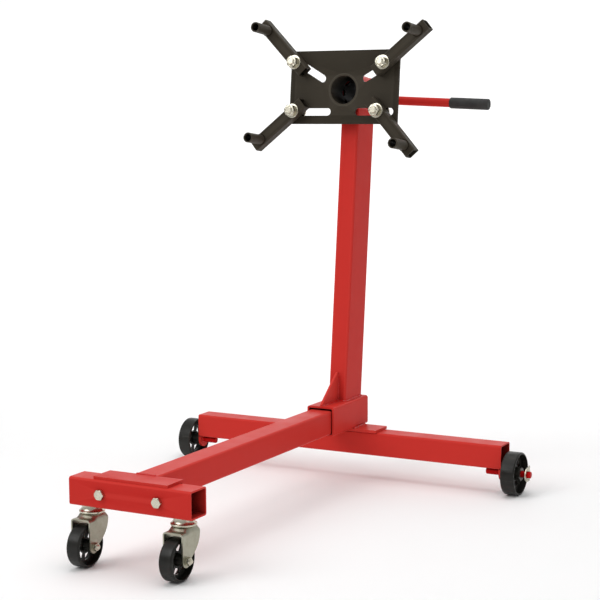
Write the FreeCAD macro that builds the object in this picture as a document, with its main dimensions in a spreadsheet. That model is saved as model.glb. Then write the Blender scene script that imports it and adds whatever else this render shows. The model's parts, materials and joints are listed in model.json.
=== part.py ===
import FreeCAD, Part

import os
import re

# Engine stand: two crossed tubes on four wheels, a leaning column and a turning head with four arms.
# +X is the right side seen from the front, -Y the front (the mounting face), +Z up, millimetres.

DOC = FreeCAD.newDocument("engine_stand")
SHEET = DOC.addObject("Spreadsheet::Sheet", "Sizes")
V = FreeCAD.Vector
X, Y, Z = V(1, 0, 0), V(0, 1, 0), V(0, 0, 1)
SIDES = {"left": -1, "right": 1}

# ---- driving dimensions -------------------------------------------------------------------------
SIZES = {
    # fits: round a turning piece, round a fixed one, round a bolt; and how far a drill runs past a wall
    "turn_gap": 0.1, "seat_gap": 0.02, "hole_gap": 0.5, "past": 1,
    # base tubes
    "front_tube_side": 50, "front_tube_length": 250, "beam_side": 50, "rear_tube_side": 50,
    "rear_tube_length": 730, "tube_wall": 3, "tube_corner": 4.5,
    "angle_width": 152, "angle_leg": 50, "angle_thick": 5,
    # beam socket on the rear tube
    "socket_front": 708, "socket_play": 4, "socket_wall": 4, "socket_length": 164, "beam_insert": 150,
    "rear_setback": 100, "base_plate_length": 164, "base_plate_lead": 3, "base_plate_thick": 6,
    # column
    "lean": 6, "column_inset": 75, "column_width": 40, "column_depth": 80, "column_wall": 3,
    "column_corner": 4.5, "gusset_height": 61, "gusset_length": 72, "gusset_thick": 5, "gusset_nose": 3,
    # head
    "head_height": 830.5, "head_reach": 35, "plate_width": 254, "plate_above": 83, "plate_below": 72,
    "plate_thick": 6, "plate_corner": 2, "head_tube_radius": 33, "head_tube_wall": 3,
    "head_tube_tail": 20, "collar_wall": 5.4, "collar_clear": 0.7, "collar_length": 100,
    # slots in the mounting plate: where each starts, measured from the head axis, and its land outside
    "slot_play": 2, "upper_slot_x": 50.5, "upper_slot_z": 24, "upper_slot_angle": 30,
    "upper_slot_land": 9.61, "lower_slot_x": 36, "lower_slot_z": -46.4, "lower_slot_land": 9,
    # arms
    "arm_side": 25, "arm_wall": 2.5, "arm_corner": 3, "arm_outer": 119, "arm_inner": 28,
    "arm_socket_inset": 22, "arm_socket_wall": 2.55, "arm_socket_bore": 8.15, "arm_socket_length": 54,
    "arm_bolt_dia": 14, "arm_bolt_across": 22, "arm_bolt_head": 8.8, "arm_nut_height": 12.8,
    "arm_washer_radius": 15, "arm_washer_thick": 2.5, "arm_bolt_spare": 4,
    # handle
    "handle_radius": 9.5, "handle_right": 272, "handle_left": 29, "handle_hole_gap": 2,
    "handle_clear": 28, "handle_drop": 5, "handle_droop": 2.6, "grip_radius": 11.8, "grip_length": 88,
    "grip_end": 4, "grip_rounding": 2.5,
    # lock pin
    "pin_radius": 6, "pin_behind_collar": 44, "pin_lift": 0.5, "pin_length": 46, "bush_wall": 4.4,
    "bush_stand": 16, "index_hole_gap": 1, "index_holes": 8, "ring_radius": 15, "ring_wire": 1.25,
    "ring_play": 1.5, "ring_hole_down": 4.5, "ring_hang": 25,
    # fasteners of the base
    "base_bolt_dia": 10, "base_bolt_across": 17, "base_bolt_head": 6.4, "base_nut_height": 8,
    "base_washer_radius": 10, "base_washer_thick": 2, "cross_bolt_at": 59, "lock_bolt_first": 42,
    "lock_bolt_pitch": 36, "bolt_spare": 3,
    # rear wheels
    "axle_radius": 7, "wheel_radius": 44.5, "axle_under_gap": 1, "axle_inboard": 37, "ear_radius": 17,
    "ear_thick": 5, "wheel_width": 30, "wheel_edge": 3, "wheel_rim": 3.8, "wheel_web": 4,
    "hub_radius": 13.5, "hub_clear": 2, "hub_lead": 6, "hub_tail": 1, "hub_to_washer": 11.6,
    "axle_washer_radius": 14.7, "axle_washer_thick": 2.4, "axle_tip": 6.5, "wheel_windows": 6,
    "window_angle": 40, "window_land": 3.5, "window_depth": 13, "wheel_turn": 53,
    "cotter_radius": 1.5, "cotter_clear": 1, "cotter_reach": 12, "cotter_loop": 3.8, "cotter_wire": 1.05,
    "cotter_sink": 0.5,
    # casters
    "caster_at": 95, "caster_trail": 23, "caster_radius": 38, "caster_width": 27, "caster_edge": 4,
    "caster_rim": 4.5, "caster_web": 3, "caster_hub_radius": 11, "caster_hub_width": 31,
    "caster_windows": 6, "caster_window_angle": 40, "caster_window_land": 3.5,
    "caster_window_depth": 11, "left_caster_turn": 53, "right_caster_turn": 31,
    "fork_play": 1.5, "fork_thick": 3, "fork_boss": 11, "fork_back": 19, "fork_top_clear": 7.5,
    "fork_cap_radius": 20, "fork_cap_height": 6, "race_radius": 23, "race_gap": 0.3, "race_height": 7,
    "race_neck": 14, "race_neck_least": 4, "stem_radius": 6, "stem_head_radius": 9,
    "stem_head_height": 4, "stem_across": 19, "stem_nut_height": 10, "stem_spare": 5,
    "sleeve_radius": 6.5, "caster_bolt_dia": 8, "caster_bolt_across": 13, "caster_bolt_head": 5.5,
    "caster_nut_height": 7, "caster_bolt_spare": 4,
}
for row, (name, size) in enumerate(SIZES.items(), start=1):
    SHEET.set("A%d" % row, name)
    SHEET.set("B%d" % row, str(size))
    SHEET.setAlias("B%d" % row, name)
DOC.recompute()

# where each arm stands at rest: how far its bolt is from the slot's outer end, and the arm's direction
ARMS = {
    "upper_left": (3, 135), "upper_right": (9.5, 40),
    "lower_left": (3, 219.5), "lower_right": (19, 312.5),
}

# ---- places worked out from the driving dimensions ------------------------------------------------
PLACES = {
    # heights: the frame stands clear of the rear axles and of the casters' forks, whichever is higher
    "fork_under": "2 * caster_radius + fork_top_clear",
    "cap_top": "fork_under + fork_thick + fork_cap_height",
    "race_at": "cap_top + race_gap",
    "front_over_rear": "rear_tube_side + base_plate_thick + socket_wall + beam_side - angle_thick"
                       " - front_tube_side",
    "rear_bottom": "max(wheel_radius + axle_radius + axle_under_gap;"
                   " race_at + race_height + race_neck_least - front_over_rear)",
    "rear_top": "rear_bottom + rear_tube_side",
    "socket_side": "beam_side + socket_play + 2 * socket_wall",
    "socket_bottom": "rear_top + base_plate_thick",
    "socket_top": "socket_bottom + socket_side",
    "beam_bottom": "socket_bottom + socket_wall",
    "beam_top": "beam_bottom + beam_side",
    "front_top": "beam_top - angle_thick",
    "front_bottom": "front_top - front_tube_side",
    "front_middle": "front_bottom + front_tube_side / 2",
    # from front to back
    "beam_start": "front_tube_side + angle_thick",
    "beam_end": "socket_front + beam_insert",
    "rear_front": "socket_front + rear_setback",
    "base_plate_depth": "rear_tube_side + 2 * base_plate_lead",
    "axle_y": "rear_front + ear_radius",
    "column_front": "socket_front + column_inset",
    "head_y": "column_front + (head_height - socket_top) * tan(lean) - head_reach / cos(lean)",
    "foremost": "front_tube_side / 2 - caster_trail - caster_radius",
    "rearmost": "head_y + head_tube_length * cos(lean) + head_tube_radius * sin(lean)",
    "middle_y": "(foremost + rearmost) / 2",
    # head, along its axis and round it
    "collar_front": "plate_thick + arm_washer_thick + arm_bolt_head + collar_clear",
    "collar_radius": "head_tube_radius + turn_gap + collar_wall",
    "pin_behind": "collar_front + pin_behind_collar",
    "pin_tip": "head_tube_radius + pin_lift",
    "bush_radius": "pin_radius + turn_gap + bush_wall",
    "bush_top": "collar_radius + bush_stand",
    "handle_behind": "collar_front + collar_length + handle_clear",
    "head_tube_length": "handle_behind + head_tube_tail",
    "slot_width": "arm_bolt_dia + slot_play",
    "upper_travel": "(plate_width / 2 - upper_slot_land - slot_width / 2 - upper_slot_x)"
                    " / cos(upper_slot_angle)",
    "lower_travel": "plate_width / 2 - lower_slot_land - slot_width / 2 - lower_slot_x",
    "arm_socket_at": "arm_outer - arm_socket_inset",
    "arm_socket_radius": "arm_socket_bore + arm_socket_wall",
    # rear wheels, outwards from the tube's end
    "ear_at": "rear_tube_length / 2 - ear_thick",
    "axle_start": "rear_tube_length / 2 - axle_inboard",
    "hub_start": "rear_tube_length / 2 + hub_clear",
    "wheel_start": "hub_start + hub_lead",
    "hub_end": "wheel_start + wheel_width + hub_tail",
    "axle_washer_at": "hub_end + hub_to_washer",
    "cotter_at": "axle_washer_at + axle_washer_thick + cotter_radius + cotter_clear",
    "axle_end": "axle_washer_at + axle_washer_thick + axle_tip",
    "window_inner": "hub_radius + window_land",
    "window_outer": "window_inner + window_depth",
    # casters
    "caster_king_y": "front_tube_side / 2",
    "fork_axle_y": "caster_king_y - caster_trail",
    "fork_gap": "caster_hub_width + 2 * fork_play",
    "fork_half": "fork_gap / 2 + fork_thick",
    "caster_window_inner": "caster_hub_radius + caster_window_land",
    "caster_window_outer": "caster_window_inner + caster_window_depth",
    "stem_inside": "front_bottom + tube_wall",
}
WORDS = re.compile(r"[A-Za-z_]+")


def spell(text):
    """Turn a formula of size and place names into one that reads the sheet."""
    def swap(match):
        word = match.group(0)
        if word in PLACES:
            return "(" + spell(PLACES[word]) + ")"
        return "Sizes." + word if word in SIZES else word
    return WORDS.sub(swap, str(text))


def value(text):
    """The number that a formula comes to now."""
    return float(SHEET.evalExpression(spell(text)))


def bind(thing, **formulas):
    for prop, text in formulas.items():
        thing.setExpression(prop, spell(text))


def put(thing, x=0, y=0, z=0):
    for axis, text in (("x", x), ("y", y), ("z", z)):
        thing.setExpression("Placement.Base." + axis, spell(text))


# ---- building blocks ------------------------------------------------------------------------------
TURNS = {
    "x": FreeCAD.Rotation(Y, 90),
    "y": FreeCAD.Rotation(X, -90),
    "z": FreeCAD.Rotation(),
}


def face(thing, axis, turn):
    """Point a shape made along +Z along an axis, turned about its own axis first."""
    thing.Placement = FreeCAD.Placement(V(), TURNS[axis].multiply(FreeCAD.Rotation(Z, turn)))


def box(size, at):
    """A box of size (x, y, z) with its lowest corner at (x, y, z)."""
    made = DOC.addObject("Part::Box", "Block")
    bind(made, Length=size[0], Width=size[1], Height=size[2])
    put(made, *at)
    return made


def rod(radius, length, at, axis="z", sector=360, turn=0):
    """A cylinder, or a sector of one, from the point at, along +axis."""
    made = DOC.addObject("Part::Cylinder", "Rod")
    bind(made, Radius=radius, Height=length, Angle=sector)
    face(made, axis, turn)
    put(made, *at)
    return made


def hexagon(across, height, at, axis="z"):
    """A hexagonal prism, with its size across the flats, along +axis, points up and down."""
    flat = DOC.addObject("Part::RegularPolygon", "Hexagon")
    flat.Polygon = 6
    bind(flat, Circumradius="(%s) / 2 / cos(30)" % across)
    prism = DOC.addObject("Part::Extrusion", "Prism")
    prism.Base = flat
    prism.DirMode = "Custom"
    prism.Dir = Z
    prism.Solid = True
    bind(prism, LengthFwd=height)
    face(prism, axis, 30 if axis == "y" else 0)
    put(prism, *at)
    return prism


def torus(ring_size, wire, at, axis="z"):
    made = DOC.addObject("Part::Torus", "Loop")
    bind(made, Radius1=ring_size, Radius2=wire)
    face(made, axis, 0)
    put(made, *at)
    return made


def cut(base, *tools):
    for tool in tools:
        made = DOC.addObject("Part::Cut", "Cut")
        made.Base = base
        made.Tool = tool
        base = made
    return base


def fuse(*pieces):
    made = DOC.addObject("Part::MultiFuse", "Joined")
    made.Shapes = list(pieces)
    made.Refine = True
    return made


def group(*pieces):
    """Separate solids that share a node, or one solid to be placed as a whole."""
    made = DOC.addObject("Part::Compound", "Group")
    made.Links = list(pieces)
    return made


def common(base, tool):
    made = DOC.addObject("Part::Common", "Common")
    made.Base = base
    made.Tool = tool
    return made


def mirrored(source):
    """The same thing on the other side."""
    made = DOC.addObject("Part::Mirroring", "Mirrored")
    made.Source = source
    made.Normal = X
    return made


def moved(at, axis, text):
    """A point shifted by a formula along an axis."""
    return tuple("(%s) + (%s)" % (old, text) if name == axis else old for name, old in zip("xyz", at))


def tube(outer, inner, length, at, axis="z"):
    """A round tube, bush or washer."""
    return cut(rod(outer, length, at, axis), rod(inner, length, at, axis))


def bolt(across, head_height, dia, shank, at, axis="z"):
    """A hexagon bolt whose head seats at the point at and whose shank runs along +axis."""
    under = moved(at, axis, "-(%s)" % head_height)
    return fuse(hexagon(across, head_height, under, axis), rod("%s / 2" % dia, shank, at, axis))


def nut(across, height, dia, at, axis="z"):
    return cut(hexagon(across, height, at, axis), rod("%s / 2 + seat_gap" % dia, height, at, axis))


def round_edges(base, radius, choose):
    """Round the edges of base that choose(edge) picks."""
    DOC.recompute()
    picked = [n for n, edge in enumerate(base.Shape.Edges, start=1) if choose(edge)]
    made = DOC.addObject("Part::Fillet", "Rounded")
    made.Base = base
    made.Edges = [(n, value(radius), value(radius)) for n in picked]
    return made


def is_round(edge):
    return isinstance(edge.Curve, Part.Circle)


def along(axis):
    """Picks the straight edges that run along an axis."""
    def choose(edge):
        if not isinstance(edge.Curve, Part.Line):
            return False
        return abs(abs(edge.Curve.Direction.dot(axis)) - 1) < 1e-6
    return choose


def square_tube(size, at, axis, wall, corner):
    """A tube with rounded corners: size (x, y, z) outside, open at both ends along axis."""
    outer = round_edges(box(size, at), corner, along(axis))
    inner_size = list(size)
    inner_at = list(at)
    for n, run in enumerate(axis):
        if not run:
            inner_size[n] = "(%s) - 2 * %s" % (size[n], wall)
            inner_at[n] = "(%s) + %s" % (at[n], wall)
    inner = round_edges(box(inner_size, inner_at), "(%s) - (%s)" % (corner, wall), along(axis))
    return cut(outer, inner)


def spoked_wheel(radius, width, start, middle, edge, rim, web, hub, bore, windows):
    """A one-piece wheel along +X: rounded tread, recessed web with windows, and a hub."""
    def barrel(size, length, x, **part):
        return rod(size, length, (x, *middle), "x", **part)
    recess = "((%s) - (%s)) / 2" % (width, web)
    web_start = "(%s) + %s" % (start, recess)
    dish = "(%s) - (%s)" % (radius, rim)
    disc = round_edges(barrel(radius, width, start), edge, is_round)
    dished = cut(disc, barrel(dish, recess, start), barrel(dish, recess, "%s + %s" % (web_start, web)))
    count, sweep, inner, outer, turn = windows
    openings = [cut(barrel(outer, web, web_start, sector=sweep, turn=turn + 360.0 * n / count),
                    barrel(inner, web, web_start)) for n in range(count)]
    hub_radius, hub_start, hub_end = hub
    hub_length = "(%s) - (%s)" % (hub_end, hub_start)
    body = fuse(cut(dished, *openings), barrel(hub_radius, hub_length, hub_start))
    return cut(body, barrel(bore, hub_length, hub_start))


NODES = {}
SHIFT = FreeCAD.Placement(V(0, -value("middle_y"), 0), FreeCAD.Rotation())
# the head frame: origin on the head axis at the plate's front face, Y back along the axis
HEAD = FreeCAD.Placement(V(0, value("head_y"), value("head_height")),
                         FreeCAD.Rotation(X, -value("lean")))


def node(name, thing, frame=FreeCAD.Placement()):
    """Give a finished sub-part its name, and place it: in the base frame, or in a frame given."""
    placed = group(thing) if thing.TypeId in ("Part::Box", "Part::Torus") else thing
    placed.Label = name
    placed.Placement = SHIFT.multiply(frame).multiply(placed.Placement)
    NODES[name] = placed


# ---- base ---------------------------------------------------------------------------------------
def front_cross():
    """The front tube, and the angle that joins it to the beam with two bolts."""
    bolts, washers, nuts, drills, stem_holes = [], [], [], [], []
    for side in SIDES.values():
        x = "%d * cross_bolt_at" % side
        seat = (x, "beam_start", "front_middle")
        shank = "beam_start + base_washer_thick + base_nut_height + bolt_spare"
        bolts.append(bolt("base_bolt_across", "base_bolt_head", "base_bolt_dia", shank,
                          (x, 0, "front_middle"), "y"))
        washers.append(tube("base_washer_radius", "base_bolt_dia / 2 + seat_gap", "base_washer_thick",
                            seat, "y"))
        nuts.append(nut("base_bolt_across", "base_nut_height", "base_bolt_dia",
                        moved(seat, "y", "base_washer_thick"), "y"))
        drills.append(rod("base_bolt_dia / 2 + hole_gap", "beam_start + 2 * past",
                          (x, "-past", "front_middle"), "y"))
        stem_holes.append(rod("stem_radius + hole_gap", "tube_wall + 2 * past",
                              ("%d * caster_at" % side, "caster_king_y", "front_bottom - past")))
    cross = square_tube(("front_tube_length", "front_tube_side", "front_tube_side"),
                        ("-front_tube_length / 2", 0, "front_bottom"), X, "tube_wall", "tube_corner")
    top_leg = box(("angle_width", "angle_leg", "angle_thick"),
                  ("-angle_width / 2", "beam_start - angle_leg", "front_top"))
    back_leg = box(("angle_width", "angle_thick", "angle_leg"),
                   ("-angle_width / 2", "front_tube_side", "beam_top - angle_leg"))
    node("front_cross_tube", cut(cross, *drills, *stem_holes))
    node("beam_end_angle", cut(fuse(top_leg, back_leg), *drills))
    node("cross_tube_bolts", group(*bolts))
    node("cross_tube_washers", group(*washers))
    node("cross_tube_nuts", group(*nuts))


def beam_and_socket():
    """The long beam and the socket that it slides into, held by two bolts from below."""
    beam = square_tube(("beam_side", "beam_end - beam_start", "beam_side"),
                       ("-beam_side / 2", "beam_start", "beam_bottom"), Y, "tube_wall", "tube_corner")
    socket = square_tube(("socket_side", "socket_length", "socket_side"),
                         ("-socket_side / 2", "socket_front", "socket_bottom"), Y, "socket_wall",
                         "tube_corner + socket_wall - tube_wall")
    drills, bolts, nuts = [], [], []
    for n in range(2):
        y = "socket_front + lock_bolt_first + %d * lock_bolt_pitch" % n
        walls = "socket_wall + tube_wall"
        drills.append(rod("base_bolt_dia / 2 + hole_gap", walls + " + 2 * past",
                          (0, y, "socket_bottom - past")))
        bolts.append(bolt("base_bolt_across", "base_bolt_head", "base_bolt_dia",
                          walls + " + base_nut_height + bolt_spare", (0, y, "socket_bottom")))
        nuts.append(nut("base_bolt_across", "base_nut_height", "base_bolt_dia",
                        (0, y, "beam_bottom + tube_wall")))
    node("main_beam", cut(beam, *drills))
    node("beam_socket", cut(socket, *drills))
    node("beam_lock_bolts", group(*bolts))
    node("beam_lock_nuts", group(*nuts))
    node("socket_base_plate", box(("base_plate_length", "base_plate_depth", "base_plate_thick"),
                                  ("-base_plate_length / 2", "rear_front - base_plate_lead", "rear_top")))


def column_and_gusset():
    """The leaning column stands on the socket and is coped round the collar at its top."""
    reach = "(head_height - rear_bottom) / cos(lean)"
    size = ("column_width", "column_depth", reach)
    corner = ("-column_width / 2", "head_reach", "-(%s)" % reach)
    coping = rod("collar_radius", "column_depth + 2 * past", (0, "head_reach - past", 0), "y")
    coped = cut(square_tube(size, corner, Z, "column_wall", "column_corner"), coping)
    coped.Placement = HEAD
    above = box(("column_width + 2 * past", "2 * rear_front", "head_height"),
                ("-column_width / 2 - past", 0, "socket_top"))
    node("column", common(coped, above))

    blank = group(box(size, corner))
    blank.Placement = HEAD
    deep = "gusset_length + gusset_height * tan(lean)"
    wedge = DOC.addObject("Part::Wedge", "Gusset")
    bind(wedge, Xmin=0, Xmax="gusset_thick", Ymin=0, Ymax="gusset_height - gusset_nose", Zmin=0,
         Zmax=deep, X2min=0, X2max="gusset_thick", Z2min="gusset_length", Z2max=deep)
    wedge.Placement = FreeCAD.Placement(V(), FreeCAD.Rotation(-X, Z, Y))
    put(wedge, "gusset_thick / 2", "column_front - gusset_length", "socket_top + gusset_nose")
    foot = box(("gusset_thick", deep, "gusset_nose"),
               ("-gusset_thick / 2", "column_front - gusset_length", "socket_top"))
    node("column_gusset", cut(fuse(wedge, foot), blank))


def rear_cross():
    """The rear tube with an ear, an axle, a washer and a cotter pin at each end."""
    node("rear_cross_tube",
         square_tube(("rear_tube_length", "rear_tube_side", "rear_tube_side"),
                     ("-rear_tube_length / 2", "rear_front", "rear_bottom"), X, "tube_wall", "tube_corner"))

    def on_axle(x):
        return (x, "axle_y", "wheel_radius")
    under_tube = box(("ear_thick", "2 * ear_radius", "2 * ear_radius"),
                     ("ear_at", "axle_y - ear_radius", "rear_bottom - 2 * ear_radius"))
    tongue = fuse(common(rod("ear_radius", "ear_thick", on_axle("ear_at"), "x"), under_tube),
                  box(("ear_thick", "2 * ear_radius", "rear_bottom - wheel_radius"),
                      ("ear_at", "axle_y - ear_radius", "wheel_radius")))
    ear = cut(tongue, rod("axle_radius + seat_gap", "ear_thick", on_axle("ear_at"), "x"))
    drill = rod("cotter_radius + seat_gap", "2 * axle_radius + 2 * past",
                ("cotter_at", "axle_y", "wheel_radius - axle_radius - past"))
    axle = cut(rod("axle_radius", "axle_end - axle_start", on_axle("axle_start"), "x"), drill)
    washer = tube("axle_washer_radius", "axle_radius + seat_gap", "axle_washer_thick",
                  on_axle("axle_washer_at"), "x")
    pin = rod("cotter_radius", "2 * cotter_reach", ("cotter_at", "axle_y", "wheel_radius - cotter_reach"))
    eye = torus("cotter_loop", "cotter_wire",
                ("cotter_at", "axle_y", "wheel_radius + cotter_reach + cotter_loop - cotter_sink"), "x")
    for name, piece in (("axle_ears", ear), ("rear_axles", axle), ("axle_washers", washer),
                        ("axle_cotter_pins", fuse(pin, eye))):
        node(name, group(piece, mirrored(piece)))


def rear_wheels():
    for name in SIDES:
        wheel = spoked_wheel(
            "wheel_radius", "wheel_width", "wheel_start", ("axle_y", "wheel_radius"), "wheel_edge",
            "wheel_rim", "wheel_web", ("hub_radius", "hub_start", "hub_end"), "axle_radius + turn_gap",
            (int(value("wheel_windows")), "window_angle", "window_inner", "window_outer",
             value("wheel_turn")))
        node("rear_wheel_" + name, wheel if name == "right" else mirrored(wheel))


# ---- casters --------------------------------------------------------------------------------------
def caster_fork(king_x, axle_at):
    """A pressed fork that trails forwards, with a round cap for the swivel bearing."""
    def beside(text):
        return "%s + (%s)" % (king_x, text)
    pieces = []
    leg = "fork_under - caster_radius"
    for leg_x in ("-fork_half", "fork_gap / 2"):
        upright = box(("fork_thick", "2 * fork_boss", leg),
                      (beside(leg_x), "fork_axle_y - fork_boss", "caster_radius"))
        boss = rod("fork_boss", "fork_thick", (beside(leg_x), *axle_at), "x")
        back = DOC.addObject("Part::Wedge", "Back")
        bind(back, Xmin=0, Xmax="fork_thick", X2min=0, X2max="fork_thick", Ymin=0, Ymax=leg,
             Zmin=0, Zmax="caster_trail + fork_back - fork_boss", Z2min=0, Z2max=0)
        back.Placement = FreeCAD.Placement(V(), FreeCAD.Rotation(X, -Z, Y))
        put(back, beside(leg_x), "fork_axle_y + fork_boss", "fork_under")
        pieces += [upright, boss, back]
    crown = box(("2 * fork_half", "fork_boss + caster_trail + fork_back", "fork_thick"),
                (beside("-fork_half"), "fork_axle_y - fork_boss", "fork_under"))
    cap_height = "fork_cap_height + fork_thick"
    cap = rod("fork_cap_radius", cap_height, (king_x, "caster_king_y", "fork_under"))
    return cut(fuse(crown, cap, *pieces),
               rod("stem_radius + turn_gap", cap_height + " + 2 * past",
                   (king_x, "caster_king_y", "fork_under - past")),
               rod("caster_bolt_dia / 2 + seat_gap", "2 * fork_half + 2 * past",
                   (beside("-fork_half - past"), *axle_at), "x"))


def caster_rolling_parts(name, king_x, axle_at):
    """The fork, and the wheel on its sleeve between the fork's legs."""
    def beside(text):
        return (("%s + (%s)" % (king_x, text)), *axle_at)
    node("caster_fork_" + name, caster_fork(king_x, axle_at))
    node("caster_wheel_" + name, spoked_wheel(
        "caster_radius", "caster_width", beside("-caster_width / 2")[0], axle_at, "caster_edge",
        "caster_rim", "caster_web",
        ("caster_hub_radius", beside("-caster_hub_width / 2")[0], beside("caster_hub_width / 2")[0]),
        "sleeve_radius + turn_gap",
        (int(value("caster_windows")), "caster_window_angle", "caster_window_inner",
         "caster_window_outer", value(name + "_caster_turn"))))
    node("caster_sleeve_" + name, tube("sleeve_radius", "caster_bolt_dia / 2 + seat_gap", "fork_gap",
                                       beside("-fork_gap / 2"), "x"))
    node("caster_bolt_" + name, bolt("caster_bolt_across", "caster_bolt_head", "caster_bolt_dia",
                                     "2 * fork_half + caster_nut_height + caster_bolt_spare",
                                     beside("-fork_half"), "x"))
    node("caster_nut_" + name, nut("caster_bolt_across", "caster_nut_height", "caster_bolt_dia",
                                   beside("fork_half"), "x"))


def casters():
    """Two casters, each with a riveted stem through the front tube's lower wall."""
    stems, nuts, races = [], [], []
    for name, side in SIDES.items():
        king = ("%d * caster_at" % side, "caster_king_y")
        caster_rolling_parts(name, king[0], ("fork_axle_y", "caster_radius"))
        shaft_at = "fork_under - race_gap"
        shaft = rod("stem_radius", "stem_inside + stem_nut_height + stem_spare - (%s)" % shaft_at,
                    (*king, shaft_at))
        rivet = rod("stem_head_radius", "stem_head_height", (*king, shaft_at + " - stem_head_height"))
        stems.append(fuse(rivet, shaft))
        nuts.append(nut("stem_across", "stem_nut_height", "2 * stem_radius", (*king, "stem_inside")))
        race = fuse(rod("race_radius", "race_height", (*king, "race_at")),
                    rod("race_neck", "front_bottom - race_at", (*king, "race_at")))
        races.append(cut(race, rod("stem_radius + seat_gap", "front_bottom", (*king, "race_at"))))
    node("caster_stems", group(*stems))
    node("caster_stem_nuts", group(*nuts))
    node("caster_top_races", group(*races))


# ---- head ---------------------------------------------------------------------------------------
def slots():
    """Each slot of the plate, in the head frame: name, inner end, direction and travel."""
    for name, side in SIDES.items():
        for level, angle in (("upper", value("upper_slot_angle")), ("lower", 0)):
            start = V(side * value(level + "_slot_x"), 0, value(level + "_slot_z"))
            yield "%s_%s" % (level, name), start, angle if side > 0 else 180 - angle, level + "_travel"


def slot_cutter(start, angle, travel):
    """A slot from its inner end outwards, through the plate."""
    run = box((travel, "plate_thick", "slot_width"), (0, 0, "-slot_width / 2"))
    ends = [rod("slot_width / 2", "plate_thick", (x, 0, 0), "y") for x in (0, travel)]
    made = fuse(run, *ends)
    made.Placement = FreeCAD.Placement(start, FreeCAD.Rotation(Y, -angle))
    return made


def head():
    """The mounting plate on its tube, which turns in the collar on top of the column."""
    blank = round_edges(box(("plate_width", "plate_thick", "plate_above + plate_below"),
                            ("-plate_width / 2", 0, "-plate_below")), "plate_corner", along(Y))
    cutters = [slot_cutter(start, angle, travel) for _, start, angle, travel in slots()]
    hole = rod("head_tube_radius + seat_gap", "plate_thick", (0, 0, 0), "y")
    node("mounting_plate", cut(blank, hole, *cutters), HEAD)

    across = "2 * head_tube_radius + 2 * past"
    cross = rod("handle_radius + handle_hole_gap", across,
                ("-head_tube_radius - past", "handle_behind", "-handle_drop"), "x")
    count = int(value("index_holes"))
    index = []
    for n in range(count // 2):
        bore = group(rod("pin_radius + index_hole_gap", across, (0, 0, "-head_tube_radius - past")))
        bore.Placement = FreeCAD.Placement(V(0, value("pin_behind"), 0),
                                           FreeCAD.Rotation(Y, 360.0 * n / count))
        index.append(bore)
    turning = tube("head_tube_radius", "head_tube_radius - head_tube_wall", "head_tube_length",
                   (0, 0, 0), "y")
    node("head_tube", cut(turning, cross, *index), HEAD)
    collar = tube("collar_radius", "head_tube_radius + turn_gap", "collar_length",
                  (0, "collar_front", 0), "y")
    node("head_collar", cut(collar, rod("pin_radius + turn_gap", "bush_top", (0, "pin_behind", 0))), HEAD)


def lock_pin():
    """A pin with a pull ring, in a bush on the collar, drops into an index hole of the turning tube."""
    saddle = rod("collar_radius", "4 * bush_radius", (0, "pin_behind - 2 * bush_radius", 0), "y")
    bush = tube("bush_radius", "pin_radius + turn_gap", "bush_top", (0, "pin_behind", 0))
    node("lock_pin_bush", cut(bush, saddle), HEAD)
    eye_height = "pin_tip + pin_length - ring_hole_down"
    eye = rod("ring_wire + ring_play", "4 * pin_radius", (0, "pin_behind - 2 * pin_radius", eye_height), "y")
    node("lock_pin", cut(rod("pin_radius", "pin_length", (0, "pin_behind", "pin_tip")), eye), HEAD)
    loop_height = eye_height + " - ring_radius * sin(ring_hang)"
    loop = torus("ring_radius", "ring_wire", ("ring_radius * cos(ring_hang)", "pin_behind", loop_height))
    loop.Placement = FreeCAD.Placement(V(), FreeCAD.Rotation(Y, value("ring_hang")))
    node("lock_pin_ring", loop, HEAD)


def handle():
    """The bar through the back end of the turning tube, with a grip on its right end."""
    left = "head_tube_radius + handle_left"
    bar = rod("handle_radius", "%s + handle_right - grip_end" % left, ("-(%s)" % left, 0, 0), "x")
    grip_at = ("handle_right - grip_length", 0, 0)
    outside = round_edges(rod("grip_radius", "grip_length", grip_at, "x"), "grip_rounding", is_round)
    grip = cut(outside, rod("handle_radius + seat_gap", "grip_length - grip_end", grip_at, "x"))
    droop = FreeCAD.Placement(V(0, value("handle_behind"), -value("handle_drop")),
                              FreeCAD.Rotation(Y, value("handle_droop")))
    node("handle_bar", group(bar), HEAD.multiply(droop))
    node("handle_grip", grip, HEAD.multiply(droop))


def arm(name, frame):
    """A square arm on its bolt, which is the frame's origin, with a socket near its outer end."""
    length = "arm_outer + arm_inner"
    blank = square_tube((length, "arm_side", "arm_side"), ("-arm_inner", "-arm_side", "-arm_side / 2"),
                        X, "arm_wall", "arm_corner")
    through = "arm_side + 2 * past"
    node("arm_" + name,
         cut(blank, rod("arm_bolt_dia / 2 + hole_gap", through, (0, "-arm_side - past", 0), "y"),
             rod("arm_socket_bore", through, ("arm_socket_at", "-arm_side - past", 0), "y")), frame)
    node("arm_socket_" + name,
         tube("arm_socket_radius", "arm_socket_bore", "arm_socket_length",
              ("arm_socket_at", "-arm_side - arm_socket_length", 0), "y"), frame)


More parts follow.
